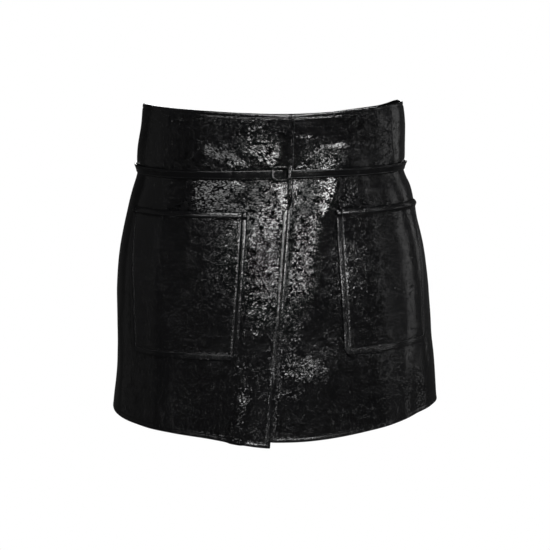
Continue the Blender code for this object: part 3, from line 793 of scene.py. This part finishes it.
def backDistance(bearing, height):
    return distanceAt(np.where(bearing > 180.0, bearing - 360.0, bearing), height)


def backRelief(bearing, height, first, last):
    distance = backDistance(bearing, height)
    radius = planRadius(bearing, height)
    fromFirst, fromLast = np.radians(bearing - first) * radius, np.radians(last - bearing) * radius
    relief = bodyRelief(distance, height) + edgeRelief(bearing, height, hemLine, backTopLine)
    return relief + rollOff(fromFirst, panelSide["backRoll"]) + rollOff(fromLast, panelSide["backRoll"])


def buildBack():
    made = []
    for name, (solid, first, last) in backSpans.items():
        across, edges = steps(panelSide["span"], cloth["step"]), (besideSeam(first, 1), besideSeam(last, -1))
        bearing, height = panelGrid(*edges, across, hemLine, downSteps, backTopLine)
        points = placed(bearing, height, backRelief(bearing, height, first, last))
        calm = calmCloth(backDistance(bearing, height), bearing, height, hemLine)
        panel = addShell(name, points, cloth["wall"], [panelVinyl, backing], calm=calm)
        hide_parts(solid)
        made.append(panel)
    return made


# patch pockets
pocketFinish = {
    "stitchIn": 0.0068, "grooveWide": 0.0012, "calmBeyond": 0.0008,
    "least": 0.15, "swellFade": (0.004, 0.016), "grooveFade": (0.008, 0.020),
    "topBand": 0.0046, "topSwell": 0.00220, "topFuller": 0.3, "topFade": 0.0044, "topRoll": (0.0010, 0.0012),
    "topGroove": (0.0010, 0.0003), "topGrooveBelow": 0.0006, "topStitchBelow": 0.0008,
}


def lessBelow(height, fade):
    # the sewn edges are flatter along the pocket's bottom
    fromBottom = smoothStep(height - pocketShape["bottom"], *fade)
    return pocketFinish["least"] + (1 - pocketFinish["least"]) * fromBottom


def pocketOut(pocket, distance, height):
    inner, outer = pocketEdges(pocket, height)
    across = np.clip((distance * pocket["side"] - inner) / (outer - inner), 0.0, 1.0)
    fromTop = pocketShape["top"] - height
    gape = np.maximum(1 - fromTop / pocketShape["gapeDepth"], 0.0) ** 2 * 4 * across * (1 - across)
    near = pocketInside(pocket, distance, height)
    out = layGap + pocketShape["wall"] + pocketShape["gape"] * gape + bodyRelief(distance, height)
    swell = pocket["swell"] * lessBelow(height, pocketFinish["swellFade"])
    out = out + puffedBand(near, pocketFinish["stitchIn"], 1.0) * swell
    sewn = pocket["groove"] * lessBelow(height, pocketFinish["grooveFade"])
    out = out + sewnGroove(near - pocketFinish["stitchIn"], pocketFinish["grooveWide"], sewn)
    out = out + rollOff(near, *pocket["edge"])
    band, fuller = pocketFinish["topBand"], pocketFinish["topFuller"]
    down = np.clip(fromTop / band, 0.0, 1.0)
    rolled = (1 + fuller - fuller * down) * down * smoothStep(fromTop, band + pocketFinish["topFade"], band)
    out = out + pocketFinish["topSwell"] * rolled + rollOff(fromTop, *pocketFinish["topRoll"])
    return out + sewnGroove(fromTop - band - pocketFinish["topGrooveBelow"], *pocketFinish["topGroove"])


def buildPocket(name, pocket):
    top, bottom, corner = pocketShape["top"], pocketShape["bottom"], pocketShape["corner"]
    heights = top + (bottom - top) * steps(top - bottom, pocketShape["step"])
    inset = corner - np.sqrt(np.maximum(corner**2 - np.maximum(bottom + corner - heights, 0.0) ** 2, 0.0))
    inner, outer = pocketEdges(pocket, heights)
    across = steps(pocketShape["span"], pocketShape["step"])
    first, last = inner + inset, outer - inset
    distance = (first[:, None] + (last - first)[:, None] * across[None, :]) * pocket["side"]
    height = np.repeat(heights[:, None], len(across), axis=1)
    bearing = bearingAt(distance, height)
    points = placed(bearing, height, pocketOut(pocket, distance, height))
    near = np.minimum(pocketInside(pocket, distance, height), top - height + pocketFinish["calmBeyond"])
    sewn = nearEdge(near, pocketFinish["stitchIn"] + pocketFinish["calmBeyond"])
    calm = np.maximum(calmCloth(distance, bearing, height, hemLine), sewn)
    if pocket["side"] < 0:
        points, calm = points[:, ::-1], calm[:, ::-1]
    made = addShell("pocket_" + name, points, pocketShape["wall"], [pocketVinyl, backing], calm=calm)
    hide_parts("pocket_" + name)
    return made


# belt
beltShape = {
    "width": 0.0100, "wall": 0.0014, "tail": 0.052, "tilt": 0.24, "lift": 0.0005, "meanRadius": 0.1365,
    "bucklePlace": -0.0112, "barRadius": 0.0008, "barStandOff": 0.0014,
    "rise": (-0.0065, -0.0010), "settle": (0.0010, 0.0050),
    "fineFrom": 0.014, "fineTo": -0.010, "turnStep": 0.55,
    "ridge": 0.00012, "ridgeIn": 0.0010, "ridgeWide": 0.0007,
    "groove": 0.0001, "stitchIn": 0.0019, "grooveWide": 0.0005, "stitchFrom": 0.012, "stitchTurn": 350.0,
    "follow": 0.6, "sway": 0.0005, "swayTurn": 40.0, "uneven": 0.00012, "unevenSize": 0.006,
    "endWidth": 0.94, "endRings": 2.2,
}


def strapStandOff(travel):
    onCloth = layGap + beltShape["wall"]
    overBar = beltShape["barStandOff"] + beltShape["barRadius"] + cloth["gap"] + beltShape["wall"]
    onStrap = onCloth + cloth["gap"] + beltShape["wall"]
    rise, settle = smoothStep(travel, *beltShape["rise"]), smoothStep(travel, *beltShape["settle"])
    return onCloth + (overBar - onCloth) * rise + (onStrap - overBar) * settle


def beltProfile():
    # across the strap as a share of its width, and out from its inner face
    half, wall = beltShape["width"] / 2, beltShape["wall"]
    v = np.sin(np.linspace(-1, 1, 23) * math.pi / 2)
    outer = wall * (1 - np.abs(v) ** 7) ** (1 / 3)
    fromEdge = (1 - np.abs(v)) * half
    outer = outer - groove(fromEdge - beltShape["ridgeIn"], beltShape["ridgeWide"], beltShape["ridge"])
    outer = outer + groove(fromEdge - beltShape["stitchIn"], beltShape["grooveWide"], beltShape["groove"])
    inner = np.array([0.9, 0.45, 0.0, -0.45, -0.9])
    return np.concatenate([v / 2, inner / 2]), np.concatenate([outer, 0 * inner])


def buildBelt():
    place = beltShape["bucklePlace"]
    bar = float(bearingAt(place, 0.0))
    start = float(bearingAt(place - beltShape["barRadius"] - cloth["gap"], 0.0))
    near = float(bearingAt(place + beltShape["fineFrom"], 0.0)) - 360.0
    beyond = float(bearingAt(place + beltShape["fineTo"], 0.0)) - 360.0
    tip = float(bearingAt(place - beltShape["tail"], 0.0)) - 360.0
    bearings = np.concatenate([np.arange(start, near, -beltShape["turnStep"]),
                               np.linspace(near, beyond, 50)[:-1], np.linspace(beyond, tip, 40)])
    radius = planRadius(bearings, 0.0)
    travel = np.radians(bar - 360.0 - bearings) * radius
    ends = np.minimum(np.arange(len(bearings)), np.arange(len(bearings))[::-1])
    taper = np.sqrt(np.clip((ends + 0.15) / beltShape["endRings"], 0.0, 1.0))
    v, w = beltProfile()
    across = v[None, :] * (beltShape["endWidth"] + (1 - beltShape["endWidth"]) * taper[:, None])
    middle = beltShape["wall"] / 2
    thick = middle + (w[None, :] - middle) * taper[:, None]
    around = (bearings + 180.0) % 360.0 - 180.0
    sway = beltShape["sway"] * softNoise(bearings / beltShape["swayTurn"] + 30, 0 * bearings, 1.0, 21)
    height = across * beltShape["width"] + sway[:, None]
    distance = distanceAt(around[:, None] + 0 * height, height)
    out = strapStandOff(travel)[:, None] - beltShape["wall"] + beltShape["lift"] + thick
    out = out + beltShape["tilt"] * across * beltShape["width"]
    out = out + beltShape["follow"] * bodyRelief(distance, 0 * height)
    out = out + beltShape["uneven"] * softNoise(distance + 2.0, height + 2.0, beltShape["unevenSize"], 31)
    points = placed(bearings[:, None] + 0 * height, height, out)
    mesh = gridMesh("belt", points[:, ::-1], closedAcross=True)
    made = newObject("belt", capped(mesh, len(bearings), len(v)), [beltVinyl])
    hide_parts("belt_strap")
    return made


def capped(mesh, rings, around):
    # closes the two ends of a tube made by gridMesh
    work = bmesh.new()
    work.from_mesh(mesh)
    work.verts.ensure_lookup_table()
    for ring, order in ((0, 1), (rings - 1, -1)):
        work.faces.new([work.verts[ring * around + k] for k in range(around)][::order])
    bmesh.ops.recalc_face_normals(work, faces=work.faces)
    work.to_mesh(mesh)
    work.free()
    mesh.polygons.foreach_set("use_smooth", np.ones(len(mesh.polygons), bool))
    return mesh


frontLeft, frontRight = buildFrontLeft(), buildFrontRight()
backPanels = buildBack()
pocketPieces = {name: buildPocket(name, pocket) for name, pocket in pockets.items()}
belt = buildBelt()
print("cloth built")


# stitching
stitchShape = {"length": 0.0030, "gap": 0.0007, "radius": 0.00024, "stand": 0.00010, "sunk": 0.00015}


def stitchTemplate(rings=5, sides=6):
    points = []
    for t in np.linspace(-1, 1, rings):
        swell = math.sqrt(max(1 - abs(t) ** 3, 0.02))
        for k in range(sides):
            turn = 2 * math.pi * k / sides
            points.append((t / 2, swell * math.cos(turn), swell * math.sin(turn)))
    faces = []
    for r in range(0, (rings - 1) * sides, sides):
        for k in range(sides):
            beside = (k + 1) % sides
            faces.append((r + k, r + beside, r + sides + beside, r + sides + k))
    caps = [tuple(range(sides))[::-1], tuple((rings - 1) * sides + k for k in range(sides))]
    return np.array(points), faces, caps


def addStitches(name, lines):
    # each line is (points, normals) of a sewn line, evenly run through by single stitches
    template, quads, caps = stitchTemplate()
    centres, frames = [], []
    for points, normals in lines:
        run = np.concatenate([[0.0], np.cumsum(np.linalg.norm(np.diff(points, axis=0), axis=1))])
        pitch = stitchShape["length"] + stitchShape["gap"]
        count = int(run[-1] / pitch)
        for k in range(count):
            a, b = k * pitch + stitchShape["gap"] / 2, (k + 1) * pitch - stitchShape["gap"] / 2
            first, last = [np.array([np.interp(x, run, points[:, i]) for i in range(3)]) for x in (a, b)]
            normal = np.array([np.interp((a + b) / 2, run, normals[:, i]) for i in range(3)])
            along = (last - first) / np.linalg.norm(last - first)
            side = np.cross(normal, along)
            side = side / np.linalg.norm(side)
            centres.append((first + last) / 2 + normal * stitchShape["stand"])
            frames.append(np.stack([along * np.linalg.norm(last - first), side * stitchShape["radius"],
                                    np.cross(along, side) * stitchShape["radius"]]))
    centres, frames = np.array(centres), np.array(frames)
    vertices = np.einsum("vk,skx->svx", template, frames) + centres[:, None, :]
    shift = len(template)
    faces = [tuple(i + shift * s for i in face) for s in range(len(centres)) for face in quads + caps]
    mesh = bpy.data.meshes.new(name)
    mesh.from_pydata(vertices.reshape(-1, 3).tolist(), [], faces)
    mesh.polygons.foreach_set("use_smooth", np.ones(len(mesh.polygons), bool))
    return newObject(name, mesh, [thread])


def sewnLine(distance, height, relief):
    bearing = bearingAt(distance, height)
    return placed(bearing, height, relief(bearing, height)), formNormal(bearing, height)


def flapStitches():
    height = np.linspace(vent["top"] - 0.0005, flapFinish["stitchTo"], 320)
    distance = frontEdge(height) - cloth["gap"] / 2 - stitchInset(height)
    return [sewnLine(distance, height, frontLeftRelief)]


def seamStitches():
    height = np.linspace(float(topLine(0.0)) - 0.003, vent["top"], 120)
    distance = frontEdge(height) + cloth["gap"] / 2 + seamFinish["stitchIn"]
    return [sewnLine(distance, height, frontRightRelief)]


def pocketStitches(pocket):
    # one line round the three sewn edges, and one along the turned top edge
    stitchIn, side = pocketFinish["stitchIn"], pocket["side"]
    top, bottom = pocketShape["top"], pocketShape["bottom"]

    def relief(bearing, height):
        return pocketOut(pocket, distanceAt(bearing, height), height)

    downward = np.linspace(top - 0.0015, bottom + stitchIn + 0.001, 160)
    inner, outer = pocketEdges(pocket, downward)
    bottomInner, bottomOuter = pocketEdges(pocket, bottom + stitchIn)
    acrossBottom = np.linspace(bottomInner + stitchIn, bottomOuter - stitchIn, 160)
    distance = np.concatenate([inner + stitchIn, acrossBottom, (outer - stitchIn)[::-1]]) * side
    height = np.concatenate([downward, 0 * acrossBottom + bottom + stitchIn, downward[::-1]])
    topHeight = top - pocketFinish["topBand"] - pocketFinish["topStitchBelow"]
    topInner, topOuter = pocketEdges(pocket, topHeight)
    topAcross = np.linspace(topInner + 0.001, topOuter - 0.001, 160) * side
    return [sewnLine(distance, height, relief), sewnLine(topAcross, 0 * topAcross + topHeight, relief)]


def beltStitches():
    start = float(bearingAt(beltShape["bucklePlace"], 0.0))
    start = start + math.degrees(beltShape["stitchFrom"] / beltShape["meanRadius"])
    bearing = np.linspace(start, start + beltShape["stitchTurn"], 900)
    around = (bearing + 180.0) % 360.0 - 180.0
    lines = []
    for side in (-1, 1):
        height = side * (beltShape["width"] / 2 - beltShape["stitchIn"])
        distance = distanceAt(around, height + 0 * around)
        out = layGap + beltShape["wall"] + beltShape["lift"] + beltShape["tilt"] * height
        out = out - stitchShape["sunk"] + beltShape["follow"] * bodyRelief(distance, 0 * distance)
        lines.append((placed(bearing, height + 0 * bearing, out), formNormal(bearing, height)))
    return lines


sewnLines = {"beltStitches": beltStitches(), "flapStitches": flapStitches(), "seamStitches": seamStitches()}
for name, pocket in pockets.items():
    sewnLines["pocketStitches_" + name] = pocketStitches(pocket)
stitches = {name: addStitches(name, lines) for name, lines in sewnLines.items()}
print("stitching sewn")


# taken from the solids as they are: the covered buckle, the zip's slider and its pull tab
for solid in ("buckle_frame", "zip_slider", "zip_tab"):
    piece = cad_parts[solid]
    piece.data.materials.clear()
    piece.data.materials.append(beltVinyl if solid == "buckle_frame" else metal)


# studio
cameraSet = {
    "azimuth": -10.0, "distance": 1.48, "height": 0.14, "target": (0.0015, 0.0, -0.13),
    "roll": -0.41, "lens": 83.26,
}


def addCamera():
    data = bpy.data.cameras.new("camera")
    data.lens, data.sensor_width, data.clip_end = cameraSet["lens"], 36.0, 60.0
    camera = bpy.data.objects.new("camera", data)
    bpy.context.scene.collection.objects.link(camera)
    turn, roll = math.radians(cameraSet["azimuth"]), math.radians(cameraSet["roll"])
    away = cameraSet["distance"]
    place = Vector((math.sin(turn) * away, -math.cos(turn) * away, cameraSet["height"]))
    forward = (Vector(cameraSet["target"]) - place).normalized()
    right = forward.cross(Vector((0, 0, 1))).normalized()
    up = right.cross(forward)
    right, up = math.cos(roll) * right + math.sin(roll) * up, -math.sin(roll) * right + math.cos(roll) * up
    camera.matrix_world = Matrix.Translation(place) @ Matrix((right, up, -forward)).transposed().to_4x4()
    bpy.context.scene.camera = camera


# azimuth and elevation of each softbox's middle seen from the skirt, and how wide and how high it looks from
# there, all in degrees, and its brightness
softboxes = {
    "key": {"azimuth": 2.0, "elevation": 4.7, "wide": 28.0, "high": 7.4, "brightness": 19.5},
    "low": {"azimuth": 10.0, "elevation": -3.6, "wide": 13.0, "high": 7.0, "brightness": 1.0},
    "lowLeft": {"azimuth": -20.0, "elevation": 6.0, "wide": 16.0, "high": 7.0, "brightness": 2.6},
    "upperLeft": {"azimuth": -29.5, "elevation": 18.5, "wide": 33.0, "high": 11.0, "brightness": 5.4},
    "upperMiddle": {"azimuth": -1.5, "elevation": 17.5, "wide": 23.0, "high": 8.0, "brightness": 4.2},
    "upperRight": {"azimuth": 24.5, "elevation": 16.0, "wide": 21.0, "high": 11.0, "brightness": 31.0},
    "top": {"azimuth": -2.0, "elevation": 52.0, "wide": 36.0, "high": 10.0, "brightness": 12.0},
    "rightStrip": {"azimuth": 61.0, "elevation": 9.0, "wide": 7.0, "high": 40.0, "brightness": 1.1},
    "pocketSheen": {"azimuth": 88.0, "elevation": 0.0, "wide": 12.0, "high": 24.0, "brightness": 0.8},
    "waistSheen": {"azimuth": 113.0, "elevation": 10.0, "wide": 8.0, "high": 30.0, "brightness": 0.65},
    "rightWall": {"azimuth": 112.0, "elevation": 0.0, "wide": 84.0, "high": 70.0, "brightness": 0.02},
    "leftWall": {"azimuth": -100.0, "elevation": 0.0, "wide": 60.0, "high": 70.0, "brightness": 0.07},
    "back": {"azimuth": 171.0, "elevation": 8.0, "wide": 15.0, "high": 22.0, "brightness": 7.0},
}
softboxPlace = {"distance": 3.0, "middle": (0.0, 0.0, -0.11)}


def addSoftbox(name, box):
    turn, lift = math.radians(box["azimuth"]), math.radians(box["elevation"])
    toward = Vector((math.sin(turn) * math.cos(lift), -math.cos(turn) * math.cos(lift), math.sin(lift)))
    wide, high = [2 * softboxPlace["distance"] * math.tan(math.radians(box[size] / 2))
                  for size in ("wide", "high")]
    data = bpy.data.lights.new(name, "AREA")
    data.shape, data.size, data.size_y = "RECTANGLE", wide, high
    data.energy = box["brightness"] * math.pi * wide * high
    lamp = bpy.data.objects.new(name, data)
    bpy.context.scene.collection.objects.link(lamp)
    lamp.location = Vector(softboxPlace["middle"]) + toward * softboxPlace["distance"]
    lamp.rotation_euler = toward.to_track_quat("Z", "Y").to_euler()
    lamp.visible_camera = False


# white to the camera, and nearly dark to the glossy cloth
studio = {"worldLight": 0.02, "floorLight": 0.03, "floorHalf": 14.0, "floorHeight": -0.98}


def addWorld():
    world = bpy.data.worlds.new("studio")
    bpy.context.scene.world = world
    world.use_nodes = True
    tree = world.node_tree
    background = tree.nodes["Background"]
    background.inputs["Color"].default_value = (1.0, 1.0, 1.0, 1.0)
    seen = tree.nodes.new("ShaderNodeLightPath")
    strength = tree.nodes.new("ShaderNodeMapRange")
    strength.inputs["To Min"].default_value = studio["worldLight"]
    strength.inputs["To Max"].default_value = 1.0
    tree.links.new(seen.outputs["Is Camera Ray"], strength.inputs["Value"])
    tree.links.new(strength.outputs[0], background.inputs["Strength"])


def addFloor():
    mesh = bpy.data.meshes.new("floor")
    half, level = studio["floorHalf"], studio["floorHeight"]
    corners = [(-half, -half, level), (half, -half, level), (half, half, level), (-half, half, level)]
    mesh.from_pydata(corners, [], [(0, 1, 2, 3)])
    floor = bpy.data.objects.new("floor", mesh)
    bpy.context.scene.collection.objects.link(floor)
    material = bpy.data.materials.new("paleFloor")
    material.use_nodes = True
    tree = material.node_tree
    seen = node(tree, "ShaderNodeLightPath").outputs["Is Camera Ray"]
    white, dark = [node(tree, "ShaderNodeEmission", Strength=light) for light in (1.0, studio["floorLight"])]
    mixer = node(tree, "ShaderNodeMixShader", links={0: seen, 1: dark.outputs[0], 2: white.outputs[0]})
    tree.links.new(mixer.outputs[0], tree.nodes["Material Output"].inputs["Surface"])
    mesh.materials.append(material)


addCamera()
for name, box in softboxes.items():
    addSoftbox(name, box)
addWorld()
addFloor()
bpy.context.scene.view_settings.view_transform = "Standard"
print("studio lit")
